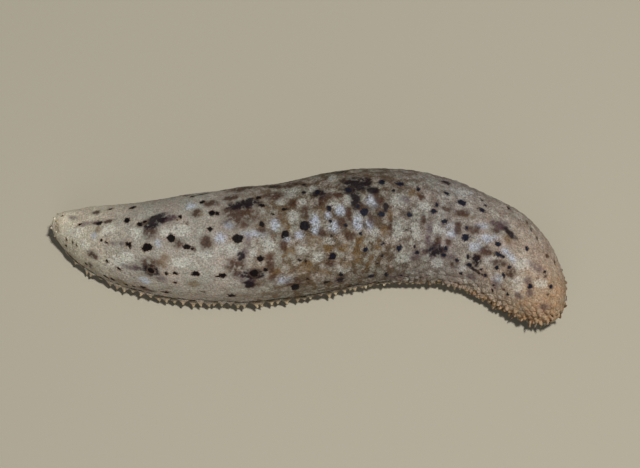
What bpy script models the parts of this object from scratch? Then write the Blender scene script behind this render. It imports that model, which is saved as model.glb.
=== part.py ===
"""A spotted sea cucumber at rest on flat ground, life size, parted into lengths by thin cuts.

The tail (anal end) is at -X and the head (oral end) at +X, curving towards -Y. +Z is up, and the
suckers of the tube feet stand on Z = 0. A place on the body is given by two numbers: `along`, in
millimetres from the tail tip, and `around`, in degrees, 0 on the animal's left side, 90 on its back,
180 on its right side and 270 on its sole.
"""
import math
import random
from typing import NamedTuple

import bmesh
import bpy
import numpy as np
from mathutils import Matrix, Vector

MM = 0.001
OBJECT_NAME = "sea_cucumber"


class GrowthSize(NamedTuple):
    """Sizes of one kind of papilla, in millimetres, and how many times wider than thick it is."""
    shortest: float
    longest: float
    root_radius: float
    tip_radius: float
    spread: float = 1.0


class Stretch(NamedTuple):
    """Where one kind of growth stands: first and last place along the body, and the step between."""
    first: float
    last: float
    step: float


# Body form, in millimetres and degrees: along, half width, height of the sole, heading from +X
STATIONS = np.array((
    (0.0, 0.0, 6.2, -20.0),
    (6.0, 6.4, 2.6, -20.0),
    (12.0, 9.2, 1.7, -19.5),
    (20.0, 11.7, 1.5, -16.5),
    (30.0, 13.8, 1.5, -8.3),
    (42.0, 15.7, 1.5, 0.5),
    (58.0, 17.2, 1.5, 2.8),
    (74.0, 17.1, 1.5, 10.0),
    (86.0, 17.6, 1.5, 13.0),
    (100.0, 17.3, 1.5, 3.0),
    (112.0, 16.5, 1.5, -5.0),
    (124.0, 15.1, 1.5, -17.0),
    (134.0, 14.1, 1.5, -29.0),
    (142.0, 13.3, 1.6, -44.0),
    (150.0, 11.4, 2.1, -56.0),
    (157.0, 8.7, 3.3, -66.0),
    (164.5, 0.0, 6.3, -76.0),
))
LENGTH = STATIONS[-1, 0]
TAIL_TIP_AT = (-77.1, 9.0)
HEIGHT_TO_WIDTH = 0.74
LOW_SHARE = 0.22
BACK_SQUARENESS = 2.1
SOLE_SQUARENESS = 3.0

# Facets of the body
FACETS_AROUND = 36
FACETS_ALONG = 48

# Thin cuts between the lengths
CUTS = (22.0, 60.0, 100.0, 138.0)
LENGTH_NAMES = ("anal_end", "hind_trunk", "mid_trunk", "fore_trunk", "oral_end")
GAP = 0.3

# Mouth disc, set in a recess of the underside near the head's end
MOUTH_AT = 155.0
DISC_RADIUS = 4.4
DISC_THICKNESS = 1.6
MOUTH_RADIUS = 1.0
MOUTH_DEPTH = 0.9
DISC_SIDES = 24
TENTACLES_PER_RING = 10
SHIELD_THICKNESS = 0.5
SHIELD_OVERLAP = 0.15


class TentacleRing(NamedTuple):
    """One ring of tentacles: its radius on the disc, how far they lean out, and their sizes."""
    radius: float
    lean: float
    stalk_length: float
    stalk_radius: float
    shield_radius: float


OUTER_RING = TentacleRing(3.55, 0.42, 1.1, 0.42, 0.8)
INNER_RING = TentacleRing(2.15, 0.16, 0.9, 0.32, 0.58)

# Anus, a round dimple in the tail tip
ANUS_RADIUS = 1.5
ANUS_DEPTH = 1.8

# Growths: sides of each, depth of their roots, and how far they keep from a cut and from the tips
GROWTH_SIDES = 6
ROOT_DEPTH = 0.7
CUT_CLEARANCE = 1.3
TIP_CLEARANCE = 1.0
SEED = 11

# Fringe of pointed feet along both lower edges
FRINGE = Stretch(9.0, 151.0, 2.6)
FRINGE_SIZE = GrowthSize(1.3, 2.0, 0.55, 0.18, spread=1.9)
FRINGE_ANGLES = (-21.0, 201.0)

# Tube feet in staggered rows under the sole
FEET = Stretch(15.0, 147.0, 5.0)
FOOT_ANGLES = (236.0, 258.0, 282.0, 304.0)
FOOT_NECK_RADIUS = 0.55
SUCKER_RADII = (0.7, 0.85)

# Papillae over the head's end, over both flanks of the fore body, and round the anus
HEAD = Stretch(141.0, 163.0, 3.7)
HEAD_SIZE = GrowthSize(1.0, 1.7, 0.62, 0.2)
HEAD_ANGLES = (-14.0, 194.0)
FLANK = Stretch(88.0, 136.0, 5.5)
FLANK_SIZE = GrowthSize(0.9, 1.4, 0.85, 0.2)
FLANK_ANGLES = ((-12.0, 34.0), (146.0, 192.0))
ANAL_SIZE = GrowthSize(0.9, 1.3, 0.5, 0.2)
ANAL_PAPILLAE = 8
ANAL_RING_AT = 1.3

# Low, wide warts in three loose rows along the back
WARTS = Stretch(14.0, 134.0, 9.0)
WART_SIZE = GrowthSize(0.5, 0.8, 1.1, 0.45)
WART_ANGLES = (52.0, 90.0, 128.0)
WART_SHIFT_ALONG = 2.0
WART_SHIFT_AROUND = 9.0

LENGTH_COLOURS = {
    "anal_end": (0.44, 0.38, 0.33, 1.0),
    "hind_trunk": (0.40, 0.34, 0.29, 1.0),
    "mid_trunk": (0.30, 0.25, 0.22, 1.0),
    "fore_trunk": (0.42, 0.36, 0.31, 1.0),
    "oral_end": (0.47, 0.31, 0.19, 1.0),
}
TENTACLE_COLOUR = (0.55, 0.42, 0.26, 1.0)
SKIN_ROUGHNESS = 0.5


def through_stations(values, along):
    """Smooth curve through one value of each station: cubics whose slopes follow the neighbours."""
    places = STATIONS[:, 0]
    slopes = np.gradient(values, places)
    first = np.clip(np.searchsorted(places, along, side="right") - 1, 0, len(places) - 2)
    step = places[first + 1] - places[first]
    t = (along - places[first]) / step
    start = (1 + 2 * t) * (1 - t) ** 2 * values[first] + t * (1 - t) ** 2 * step * slopes[first]
    end = t * t * (3 - 2 * t) * values[first + 1] + t * t * (t - 1) * step * slopes[first + 1]
    return start + end


def spine_line():
    """Points of the spine seen from above, found by walking along the heading."""
    places = np.linspace(0.0, LENGTH, 661)
    heading = np.radians(through_stations(STATIONS[:, 3], places))
    steps = np.diff(places)
    east = np.cos(heading)
    north = np.sin(heading)
    x = np.concatenate(([0.0], np.cumsum(steps * (east[1:] + east[:-1]) / 2)))
    y = np.concatenate(([0.0], np.cumsum(steps * (north[1:] + north[:-1]) / 2)))
    return places, x + TAIL_TIP_AT[0], y + TAIL_TIP_AT[1], heading


SPINE = spine_line()


def spine_at(along):
    """Place seen from above and heading in radians."""
    places, x, y, heading = SPINE
    return np.interp(along, places, x), np.interp(along, places, y), np.interp(along, places, heading)


def half_width_at(along):
    """Half width. Its square runs smoothly through the stations, which rounds both ends."""
    return math.sqrt(max(through_stations(STATIONS[:, 1] ** 2, along), 0.0))


def skin(along, around):
    """Point on the skin, in metres. The widest line lies low, so the animal sags onto its sole.

    The body's section is a squared-off circle, squeezed to the half width and to the heights above and
    below the widest line. `around` is the angle before the squeeze.
    """
    along = min(max(along, 0.0), LENGTH)
    x, y, heading = spine_at(along)
    half_width = half_width_at(along)
    height = 2 * half_width * HEIGHT_TO_WIDTH
    middle = through_stations(STATIONS[:, 2], along) + height * LOW_SHARE
    side = math.cos(math.radians(around))
    up = math.sin(math.radians(around))
    reach, power = (1 - LOW_SHARE, BACK_SQUARENESS) if up > 0 else (LOW_SHARE, SOLE_SQUARENESS)
    radius = (abs(side) ** power + abs(up) ** power) ** (-1 / power)
    across = half_width * radius * side
    raised = height * reach * radius * up
    point = (x - math.sin(heading) * across, y + math.cos(heading) * across, middle + raised)
    return Vector(point) * MM


def outward(along, around):
    """Direction straight out of the skin."""
    lengthwise = skin(along + 0.5, around) - skin(along - 0.5, around)
    crosswise = skin(along, around + 2.0) - skin(along, around - 2.0)
    return crosswise.cross(lengthwise).normalized()


def aim(place, direction):
    """Matrix that puts a form's base at a place with its +Z axis along a direction."""
    return Matrix.Translation(place) @ direction.to_track_quat("Z", "Y").to_matrix().to_4x4()


def make_material(name, colour):
    material = bpy.data.materials.new(name)
    material.use_nodes = True
    shader = material.node_tree.nodes["Principled BSDF"]
    shader.inputs["Base Color"].default_value = colour
    shader.inputs["Roughness"].default_value = SKIN_ROUGHNESS
    shader.inputs["Metallic"].default_value = 0.0
    return material


def make_object(name, mesh, collection):
    piece = bpy.data.objects.new(name, mesh)
    collection.objects.link(piece)
    return piece


def mesh_from(form, name):
    """Mesh of a bmesh whose faces all point out."""
    bmesh.ops.recalc_face_normals(form, faces=form.faces)
    mesh = bpy.data.meshes.new(name)
    form.to_mesh(mesh)
    form.free()
    return mesh


def frustum(place, direction, length, root_radius, tip_radius, sides=GROWTH_SIDES, spread=1.0):
    """Closed tapering form in metres, from millimetre sizes, standing on a place."""
    form = bmesh.new()
    stand = aim(place, direction) @ Matrix.Translation((0.0, 0.0, length * MM / 2))
    stand = stand @ Matrix.Diagonal((spread, 1.0, 1.0, 1.0))
    bmesh.ops.create_cone(
        form, cap_ends=True, segments=sides, radius1=root_radius * MM, radius2=tip_radius * MM,
        depth=length * MM, matrix=stand)
    return mesh_from(form, "frustum")


def body_form():
    """The whole body, a sphere whose every point is moved onto the skin."""
    form = bmesh.new()
    bmesh.ops.create_uvsphere(form, u_segments=FACETS_AROUND, v_segments=FACETS_ALONG, radius=1.0)
    for vertex in form.verts:
        along = LENGTH * (1 - vertex.co.z) / 2
        around = math.degrees(math.atan2(vertex.co.y, vertex.co.x))
        vertex.co = skin(along, around)
    return form


def trim(form, along, keep_before):
    """Cut a form square to the spine and close it."""
    x, y, heading = spine_at(along)
    forward = Vector((math.cos(heading), math.sin(heading), 0.0))
    cut = bmesh.ops.bisect_plane(
        form, geom=form.verts[:] + form.edges[:] + form.faces[:], plane_co=Vector((x, y, 0.0)) * MM,
        plane_no=forward, clear_outer=keep_before, clear_inner=not keep_before)
    rim = [item for item in cut["geom_cut"] if isinstance(item, bmesh.types.BMEdge)]
    bmesh.ops.contextual_create(form, geom=rim)


def body_length(index, collection):
    """One length of the body, between its two cuts."""
    form = body_form()
    if index > 0:
        trim(form, CUTS[index - 1] + GAP / 2, keep_before=False)
    if index < len(CUTS):
        trim(form, CUTS[index] - GAP / 2, keep_before=True)
    name = LENGTH_NAMES[index]
    return make_object(name, mesh_from(form, name), collection)


def keep_largest_shell(mesh):
    """Drop loose scraps and sealed hollows that a Boolean may leave."""
    form = bmesh.new()
    form.from_mesh(mesh)
    unseen = set(form.verts)
    shells = []
    while unseen:
        shell = [unseen.pop()]
        for vertex in shell:
            for edge in vertex.link_edges:
                other = edge.other_vert(vertex)
                if other in unseen:
                    unseen.remove(other)
                    shell.append(other)
        shells.append(shell)
    shells.sort(key=len)
    for shell in shells[:-1]:
        bmesh.ops.delete(form, geom=shell, context="VERTS")
    form.to_mesh(mesh)
    form.free()


def apply_boolean(piece, collection, operation):
    """Join or cut a piece by every form in a collection, for good, and remove those forms."""
    boolean = piece.modifiers.new("growths", "BOOLEAN")
    boolean.operation = operation
    boolean.operand_type = "COLLECTION"
    boolean.collection = collection
    boolean.solver = "EXACT"
    seen = piece.evaluated_get(bpy.context.evaluated_depsgraph_get())
    mesh = bpy.data.meshes.new_from_object(seen)
    piece.modifiers.clear()
    piece.data = mesh
    keep_largest_shell(mesh)
    for form in list(collection.objects):
        bpy.data.objects.remove(form)


def grow(meshes, piece, forms):
    """Fuse closed meshes with a piece."""
    for mesh in meshes:
        make_object("growth", mesh, forms)
    apply_boolean(piece, forms, "UNION")


def carve(meshes, piece, forms):
    """Cut closed meshes out of a piece."""
    for mesh in meshes:
        make_object("cutter", mesh, forms)
    apply_boolean(piece, forms, "DIFFERENCE")


def length_index(along):
    """Which length of the body a place belongs to."""
    return sum(along > cut for cut in CUTS)


def has_room(along):
    """Whether a growth there keeps clear of the cuts and of both tips."""
    clear_of_cuts = all(abs(along - cut) > CUT_CLEARANCE for cut in CUTS)
    return clear_of_cuts and TIP_CLEARANCE < along < LENGTH - TIP_CLEARANCE


def papilla(along, around, length, size):
    """Cone that grows straight out of the skin, its root sunk."""
    direction = outward(along, around)
    root = skin(along, around) - direction * ROOT_DEPTH * MM
    return frustum(root, direction, length + ROOT_DEPTH, size.root_radius, size.tip_radius,
                   spread=size.spread)


def tube_foot(along, around, sucker_radius):
    """Foot of the sole, from the floor up into the skin, widest at its sucker."""
    root = skin(along, around)
    foot_length = root.z / MM + ROOT_DEPTH
    return frustum(Vector((root.x, root.y, 0.0)), Vector((0.0, 0.0, 1.0)), foot_length,
                   sucker_radius, FOOT_NECK_RADIUS)


def girth(along):
    """Distance once around the skin, in millimetres."""
    ring = [skin(along, around) for around in range(0, 361, 15)]
    return sum((b - a).length for a, b in zip(ring, ring[1:])) / MM


def scatter(draw, stretch, from_angle, to_angle):
    """Evenly spread places on a stretch of the skin, each shifted a little by chance."""
    places = []
    for row in range(round((stretch.last - stretch.first) / stretch.step) + 1):
        along = stretch.first + row * stretch.step
        count = max(1, round(girth(along) * (to_angle - from_angle) / 360 / stretch.step))
        turn = (to_angle - from_angle) / count
        for column in range(count):
            around = from_angle + turn * (column + 0.25 + 0.5 * (row % 2))
            places.append((along + draw.uniform(-0.25, 0.25) * stretch.step,
                           around + draw.uniform(-0.25, 0.25) * turn))
    return places


def row_of(stretch, late_start=0.0):
    """Places along the body, one step apart."""
    first = stretch.first + late_start
    count = int((stretch.last - first) / stretch.step) + 1
    return [first + number * stretch.step for number in range(count)]


class Growths:
    """All growths of the body's skin, as closed meshes in one list for each length."""

    def __init__(self):
        self.draw = random.Random(SEED)
        self.by_length = [[] for _ in LENGTH_NAMES]
        self.add_fringe()
        self.add_tube_feet()
        self.add_head_papillae()
        self.add_flank_papillae()
        self.add_back_warts()
        self.add_anal_papillae()

    def add(self, along, mesh):
        self.by_length[length_index(along)].append(mesh)

    def add_papilla(self, along, around, size):
        length = self.draw.uniform(size.shortest, size.longest)
        if has_room(along):
            self.add(along, papilla(along, around, length, size))

    def add_fringe(self):
        for middle in FRINGE_ANGLES:
            for place in row_of(FRINGE):
                along = place + self.draw.uniform(-0.35, 0.35)
                self.add_papilla(along, middle + self.draw.uniform(-3.0, 3.0), FRINGE_SIZE)

    def add_tube_feet(self):
        for row, middle in enumerate(FOOT_ANGLES):
            for place in row_of(FEET, late_start=FEET.step / 2 * (row % 2)):
                along = place + self.draw.uniform(-0.5, 0.5)
                around = middle + self.draw.uniform(-2.0, 2.0)
                sucker_radius = self.draw.uniform(*SUCKER_RADII)
                if has_room(along):
                    self.add(along, tube_foot(along, around, sucker_radius))

    def add_head_papillae(self):
        for along, around in scatter(self.draw, HEAD, *HEAD_ANGLES):
            self.add_papilla(along, around, HEAD_SIZE)

    def add_flank_papillae(self):
        for from_angle, to_angle in FLANK_ANGLES:
            for along, around in scatter(self.draw, FLANK, from_angle, to_angle):
                self.add_papilla(along, around, FLANK_SIZE)

    def add_back_warts(self):
        for row, middle in enumerate(WART_ANGLES):
            for place in row_of(WARTS, late_start=WARTS.step / 2 * (row % 2)):
                along = place + self.draw.uniform(-WART_SHIFT_ALONG, WART_SHIFT_ALONG)
                around = middle + self.draw.uniform(-WART_SHIFT_AROUND, WART_SHIFT_AROUND)
                self.add_papilla(along, around, WART_SIZE)

    def add_anal_papillae(self):
        for number in range(ANAL_PAPILLAE):
            around = 360 * (number + 0.5) / ANAL_PAPILLAE
            self.add_papilla(ANAL_RING_AT, around, ANAL_SIZE)


def mouth_frame():
    """Place of the mouth on the underside, and the way that it looks."""
    return skin(MOUTH_AT, 270.0), outward(MOUTH_AT, 270.0)


def disc_recess():
    """Cutter for the seat of the mouth disc, which keeps the gap on the side and behind."""
    place, direction = mouth_frame()
    depth = DISC_THICKNESS + GAP
    opening = 4.0
    return frustum(place - direction * depth * MM, direction, depth + opening,
                   DISC_RADIUS + GAP, DISC_RADIUS + GAP, DISC_SIDES)


def tentacle(place, direction, ring):
    """Stalk with a shield-like end, as two closed meshes."""
    top = place + direction * (ring.stalk_length - SHIELD_OVERLAP) * MM
    root = place - direction * ROOT_DEPTH * MM
    stalk = frustum(root, direction, ring.stalk_length + ROOT_DEPTH, ring.stalk_radius, ring.stalk_radius)
    shield = frustum(top, direction, SHIELD_THICKNESS, ring.shield_radius, ring.shield_radius * 0.6)
    return [stalk, shield]


def tentacle_crown(collection, forms):
    """Mouth disc with two rings of tentacles round the mouth."""
    place, direction = mouth_frame()
    disc = frustum(place - direction * DISC_THICKNESS * MM, direction, DISC_THICKNESS,
                   DISC_RADIUS, DISC_RADIUS, DISC_SIDES)
    crown = make_object("tentacle_crown", disc, collection)
    stand = aim(place, direction)
    tentacles = []
    for half_steps, ring in enumerate((OUTER_RING, INNER_RING)):
        for number in range(TENTACLES_PER_RING):
            turn = 2 * math.pi * (number + half_steps / 2) / TENTACLES_PER_RING
            spoke = Vector((math.cos(turn), math.sin(turn), 0.0))
            root = stand @ (spoke * ring.radius * MM)
            way_up = (stand.to_3x3() @ (spoke * ring.lean + Vector((0.0, 0.0, 1.0)))).normalized()
            tentacles += tentacle(root, way_up, ring)
    grow(tentacles, crown, forms)
    mouth = frustum(place - direction * MOUTH_DEPTH * MM, direction, MOUTH_DEPTH * 2,
                    MOUTH_RADIUS * 0.5, MOUTH_RADIUS * 1.5, GROWTH_SIDES * 2)
    carve([mouth], crown, forms)
    return crown


def anus_cutter():
    """Cone that opens the dimple in the tail tip."""
    tip = skin(0.0, 0.0)
    heading = spine_at(0.0)[2]
    backward = Vector((-math.cos(heading), -math.sin(heading), 0.0))
    return frustum(tip - backward * ANUS_DEPTH * MM, backward, ANUS_DEPTH * 2,
                   ANUS_RADIUS * 0.3, ANUS_RADIUS * 1.7, GROWTH_SIDES * 2)


def finish(piece, colour):
    """Colour and smooth shading that keeps the sharp edges of cuts."""
    piece.data.materials.clear()
    piece.data.materials.append(make_material(piece.name + "_skin", colour))
    piece.data.shade_smooth()
    piece.data.set_sharp_from_angle(angle=math.radians(40.0))


def build():
    for leftover in list(bpy.data.objects):
        bpy.data.objects.remove(leftover)
    animal = bpy.data.collections.new(OBJECT_NAME)
    forms = bpy.data.collections.new("forms")
    bpy.context.scene.collection.children.link(animal)
    bpy.context.scene.collection.children.link(forms)
    growths = Growths()
    for index, name in enumerate(LENGTH_NAMES):
        piece = body_length(index, animal)
        grow(growths.by_length[index], piece, forms)
        if name == "anal_end":
            carve([anus_cutter()], piece, forms)
        if name == "oral_end":
            carve([disc_recess()], piece, forms)
        finish(piece, LENGTH_COLOURS[name])
    finish(tentacle_crown(animal, forms), TENTACLE_COLOUR)
    bpy.data.collections.remove(forms)


build()
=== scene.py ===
"""Looks of the spotted sea cucumber: skin, fringe, papillae, tube feet, tentacles, floor, lights, camera.

Lengths are in millimetres until a mesh is made, in metres. A place on the body is given by two numbers,
as in the solids: `along`, in millimetres from the tail tip, and `around`, in degrees, 0 on the animal's
left side, 90 on its back, 180 on its right side and 270 on its sole.
"""

import itertools
import math
from typing import NamedTuple

import bpy
import numpy as np
from mathutils import Matrix, Vector
from mathutils.kdtree import KDTree


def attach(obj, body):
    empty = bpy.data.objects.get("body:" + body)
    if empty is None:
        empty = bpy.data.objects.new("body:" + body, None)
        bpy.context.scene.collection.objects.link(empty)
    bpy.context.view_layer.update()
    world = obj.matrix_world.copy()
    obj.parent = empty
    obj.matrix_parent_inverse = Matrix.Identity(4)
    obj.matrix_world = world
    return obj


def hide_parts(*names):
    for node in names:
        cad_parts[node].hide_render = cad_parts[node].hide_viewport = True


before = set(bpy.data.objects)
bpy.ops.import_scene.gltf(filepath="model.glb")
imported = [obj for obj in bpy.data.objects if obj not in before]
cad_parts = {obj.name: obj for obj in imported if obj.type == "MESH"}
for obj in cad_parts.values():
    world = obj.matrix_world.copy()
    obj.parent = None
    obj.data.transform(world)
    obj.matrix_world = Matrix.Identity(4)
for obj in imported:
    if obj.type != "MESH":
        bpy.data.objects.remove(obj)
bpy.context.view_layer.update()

MM = 0.001

# Body form, the same as the solids': along, half width, height of the sole, heading from +X
STATIONS = np.array((
    (0.0, 0.0, 6.2, -20.0),
    (6.0, 6.4, 2.6, -20.0),
    (12.0, 9.2, 1.7, -19.5),
    (20.0, 11.7, 1.5, -16.5),
    (30.0, 13.8, 1.5, -8.3),
    (42.0, 15.7, 1.5, 0.5),
    (58.0, 17.2, 1.5, 2.8),
    (74.0, 17.1, 1.5, 10.0),
    (86.0, 17.6, 1.5, 13.0),
    (100.0, 17.3, 1.5, 3.0),
    (112.0, 16.5, 1.5, -5.0),
    (124.0, 15.1, 1.5, -17.0),
    (134.0, 14.1, 1.5, -29.0),
    (142.0, 13.3, 1.6, -44.0),
    (150.0, 11.4, 2.1, -56.0),
    (157.0, 8.7, 3.3, -66.0),
    (164.5, 0.0, 6.3, -76.0),
))
LENGTH = STATIONS[-1, 0]
TAIL_TIP_AT = (-77.1, 9.0)
HEIGHT_TO_WIDTH = 0.74
LOW_SHARE = 0.22
BACK_SQUARENESS = 2.1
SOLE_SQUARENESS = 3.0
GIRTH_AT = 80.0
BODY_NODES = ("anal_end", "hind_trunk", "mid_trunk", "fore_trunk", "oral_end")

# Mouth disc and anus, as in the solids
MOUTH_AT = 155.0
DISC_RADIUS = 4.4
DISC_DEPTH = 1.6
ANUS_REACH = 1.9
ANUS_DEPTH = 1.5

# Camera: it looks along +Y and down, from far away through a long lens
PHOTO_WIDTH = 640
PHOTO_HEIGHT = 468
MM_PER_PIXEL = 0.30
CAMERA_ELEVATION = math.radians(65.0)
CAMERA_DISTANCE = 620.0
CAMERA_AIM = np.array((3.8, 3.4, 9.5))
SENSOR_WIDTH = 36.0
VIEW = np.array((0.0, math.cos(CAMERA_ELEVATION), -math.sin(CAMERA_ELEVATION)))
VIEW_RIGHT = np.array((1.0, 0.0, 0.0))
VIEW_UP = np.array((0.0, math.sin(CAMERA_ELEVATION), math.cos(CAMERA_ELEVATION)))
CAMERA_AT = CAMERA_AIM - VIEW * CAMERA_DISTANCE

# Skin grid: rows along the body, and columns around it, which are wider apart on the sole
SKIN_ROWS = 512
SKIN_COLUMNS = 190
SOLE_FROM = 214.0
SOLE_COARSENESS = 1.7

# Cobbles of the fore body: where they start, and their spacing by place along the body. The rings are
# closer to each other by the first share, and a cobble is out of its ring by up to the second.
COBBLES_FROM = 84.0
COBBLE_SPACING = ((84.0, 120.0, 142.0, 158.0, LENGTH), (2.7, 2.6, 2.3, 2.0, 1.8))
RING_CLOSENESS = 0.87
RING_SCATTER = 0.28

# Zones that come in between two places along the body and two angles from the middle of the back: the
# orange glow of the head's rim, and the papillae of that rim and of the fore flanks
GLOWING_RIM = ((116.0, 148.0), (80.0, 104.0))
HEAD_RIM = ((132.0, 150.0), (88.0, 108.0))
FORE_FLANK = ((96.0, 118.0), (62.0, 106.0))

# Fringe of webbed feet along both lower edges: first and last place, spacing, angle on the right side,
# scatter in millimetres and degrees, share of places filled, and lengths, which vary along the body
FRINGE_FROM = 8.5
FRINGE_TO = 152.5
FRINGE_SPACING = 2.2
FRINGE_ANGLE = 197.0
FRINGE_SCATTER = (0.7, 3.5)
FRINGE_SHARE = 1.0
FRINGE_LENGTHS = (1.5, 2.6)
FRINGE_REACH = ((8.0, 24.0, 60.0, 84.0, 100.0, 126.0, 142.0), (0.3, 0.85, 1.0, 0.8, 0.5, 0.5, 0.8))

# Tube feet: first and last place, spacing, and angles of their rows across the sole
FEET_FROM = 12.0
FEET_TO = 149.5
FEET_SPACING = 2.3
FEET_ROWS = np.arange(222.0, 319.0, 8.0)

# Marks read off the photograph: column, row, width and height in its pixels, and degrees of tilt
# where one leans. Each list runs from the tail to the head.
BLACK_SPOTS = (
    (79.7, 224.5, 4.5, 2.5, 10), (66.5, 240, 4.5, 1.8, -55), (65.5, 246, 3, 3), (72.3, 242.3, 3.2, 2.8),
    (76.3, 245.8, 2.6, 2.4), (52, 238, 3, 1.8, -45), (62.5, 215.5, 2.5, 1.5), (110.5, 209, 6, 2),
    (133, 208, 7, 2.4, 8), (127, 220.7, 6.2, 5.6, 15), (140, 224, 6, 4.5), (144, 221.5, 6, 3.5),
    (180, 217, 4.2, 4.2), (176.5, 220, 2, 1.4), (186.8, 223.2, 2.6, 2.2), (193, 196.5, 6, 3, 25),
    (186, 196, 6, 2), (203, 202, 6.5, 3, 12), (224.4, 190, 5, 2.2), (212, 212.5, 6.5, 5.5),
    (217, 213, 6, 4), (209.5, 229, 5, 4.7), (101, 240, 3.6, 3.4), (107, 242.3, 4.2, 2.6, -15),
    (127, 244.5, 4, 5), (130, 244, 4, 5), (129.5, 247, 4, 3), (147.2, 247, 11, 8), (144.8, 248.5, 6, 6.5),
    (171.3, 238, 8.5, 8.5), (187, 247, 9.5, 5.2, -5), (192, 248, 4, 4), (237.8, 238.4, 11.5, 9.2),
    (106.3, 261, 4.2, 3.8, -30), (86, 264, 4, 2.6, -35), (118.5, 268.8, 5, 3.2, -25),
    (106, 276.7, 5.5, 1.8, -22), (112.8, 279.3, 7, 2, -18), (126, 284.7, 5, 2, -25),
    (133, 286.6, 4.5, 2, -20), (142.5, 287, 6, 2.2, -8), (150.8, 271.2, 7, 6), (166, 273.5, 5.2, 3.4),
    (175, 274, 6.5, 3.2), (195.5, 274, 8.5, 5.5), (175.3, 283, 4.5, 1.8), (166, 293, 9, 2),
    (204, 291.5, 5, 1.4), (222.5, 275.6, 8, 5), (218, 276, 5, 2), (232, 295.5, 8, 3.4),
    (258.5, 198, 7, 2.8, 30), (262, 205, 8, 3.5), (272.5, 213.8, 4, 2.5), (262, 223.8, 6, 6.2),
    (285, 208.8, 6, 3.5), (285.4, 234, 7, 7.4), (282.8, 236.5, 5, 4), (304.8, 225.9, 10, 9.4),
    (304, 184.8, 4.5, 2.5), (304, 192.9, 4, 3), (317.5, 192.5, 6, 4.5, 35), (329.4, 208.8, 5, 6),
    (330.4, 220.6, 3.5, 4), (331.9, 235.3, 3.2, 3.2), (345.6, 225.6, 5, 4), (357.8, 206.5, 4, 4),
    (364, 212.5, 8, 8), (381, 214, 7, 6), (360.4, 233.8, 4, 4), (365.6, 249.4, 5, 5.4),
    (332.5, 256.3, 7.5, 6.6), (329.5, 258.3, 3.5, 2.5), (300, 259.8, 6, 3), (306.2, 261.6, 3, 3),
    (383, 243.7, 2.5, 4.5, -30), (382.7, 256, 2.5, 3), (377, 264, 3.5, 2), (260.9, 258.8, 7, 6),
    (265.6, 269.6, 6, 4), (253.8, 273.6, 9, 7.4), (295, 286.5, 9, 6.5), (307.5, 278.7, 3, 1.6),
    (341, 275, 5, 4), (327, 281.6, 8, 2, 10), (370.6, 276.6, 8, 3, 15), (386, 274.4, 4, 4.6),
    (381.9, 182.3, 6, 5), (399.5, 184.2, 9, 4, -10), (348, 190, 7, 5, 25), (394, 190.5, 3.5, 4),
    (418, 189.3, 4, 4), (446, 193, 6, 3.5, -25), (461.5, 202, 9.5, 5.4, -12), (437, 205, 4.4, 4),
    (433.7, 211, 6, 5.5), (409, 214.7, 5.6, 5.2), (410, 209, 3, 3), (444.5, 221.7, 5.8, 5),
    (481.5, 200, 3.5, 1.8, -25), (485.5, 205.5, 4, 2.5, -20), (482.5, 210, 8, 4, -20),
    (508.5, 208.4, 4.4, 2.2, -45), (406.5, 229.5, 2.5, 1.8), (410, 228.7, 2, 2.8), (466.8, 227.8, 4, 4),
    (465.3, 237.3, 7.4, 7.4), (498.3, 244.3, 5.8, 5.4), (498.5, 254.3, 10, 4.5, -20), (503.5, 257, 3, 3),
    (526.8, 248.7, 4, 5.5, 25), (399, 248.5, 5.4, 6.8, -20), (417.3, 252.7, 4, 4), (415, 246.5, 2.6, 2.6),
    (431, 249.8, 10, 2, 32), (446, 248.5, 4.2, 5), (443.5, 255.5, 5, 4), (468.5, 257, 3.5, 4),
    (456.5, 260.5, 3.5, 5.5, 20), (469, 265, 5.5, 4), (497, 267.8, 4.6, 5), (509.3, 267, 4.4, 4),
    (503.5, 275.5, 3, 5.4, 30), (485, 276, 4.5, 4), (460.5, 274, 4, 2.6), (401.5, 276.5, 5, 3.6),
    (427, 277.5, 5, 1.6, 30), (481, 270.3, 5, 1.6, 30), (493.5, 285.5, 3, 2.4), (492.3, 290.3, 2.8, 2.4),
    (507.8, 294.7, 3.4, 3.4), (530, 286.3, 5, 5), (550.8, 286.7, 5, 4.4, -30), (538, 277.7, 2.3, 2),
    (544.3, 272, 3, 2.4, 25), (546, 276, 4.5, 1.8, 15), (530.3, 315, 3.5, 2.2, -30),
)
DARK_CLOUDS = (
    (153, 219.5, 27, 6.5, 20), (160.5, 218, 10, 7, 20), (152, 225, 14, 6), (99.5, 223, 6, 3.4),
    (151, 271, 15, 9), (244, 204, 28, 7, 8), (250, 202, 15, 6, 10), (241, 256, 6, 9), (252, 275, 20, 9),
    (249, 284, 9, 6), (318, 194, 12, 8), (341, 280, 8, 4), (357, 183, 26, 12), (349, 189, 14, 8),
    (373, 190, 10, 6), (355, 198, 9, 17), (357, 206, 6, 6), (386, 208, 5, 8), (436, 251.5, 19, 9),
    (476, 261, 7, 10), (475, 270.5, 20, 2.6, -28), (511, 234.5, 15, 4.5, -45), (202, 194, 12, 2.4, 10),
    (274, 187.5, 14, 2.6, 4), (341, 172, 12, 3, 8), (447, 182.5, 9, 2.6, -22),
)
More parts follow.
